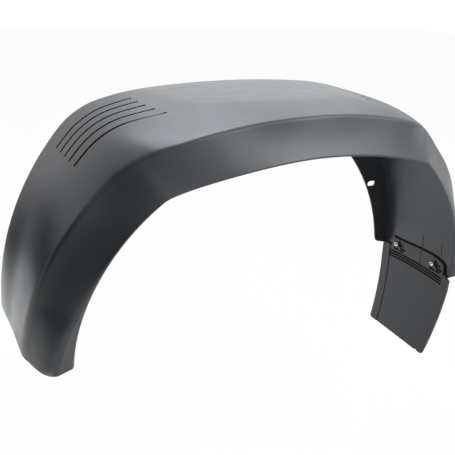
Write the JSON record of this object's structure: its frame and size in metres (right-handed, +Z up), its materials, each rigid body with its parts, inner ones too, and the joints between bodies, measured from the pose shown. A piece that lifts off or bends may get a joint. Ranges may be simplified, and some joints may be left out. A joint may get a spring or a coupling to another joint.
{
  "type": "trailer mudguard",
  "caption": "Moulded mudguard that arches over one trailer wheel, with a mounting flange, vent slots at the shoulders and a bolted mud flap behind the wheel.",
  "frame": {"origin": "on the mounting flange's outer face, midway between its two fixing slots", "axes": "+X along the trailer to the rear, where the mud flap hangs; +Y from the flange into the trailer's side; +Z up"},
  "size_m": [0.8102, 0.2948, 0.5592],
  "materials": {
    "shell_plastic": "satin",
    "flap_plastic": "matte",
    "zinc_steel": "satin"
  },
  "bodies": {
    "root": {"mudguard_shell": "shell_plastic", "mud_flap": "flap_plastic", "flap_screw_flange_side": "zinc_steel", "flap_screw_skirt_side": "zinc_steel", "flap_washer_flange_side": "zinc_steel", "flap_washer_skirt_side": "zinc_steel", "flap_nut_flange_side": "zinc_steel", "flap_nut_skirt_side": "zinc_steel"}
  },
  "joints": []
}
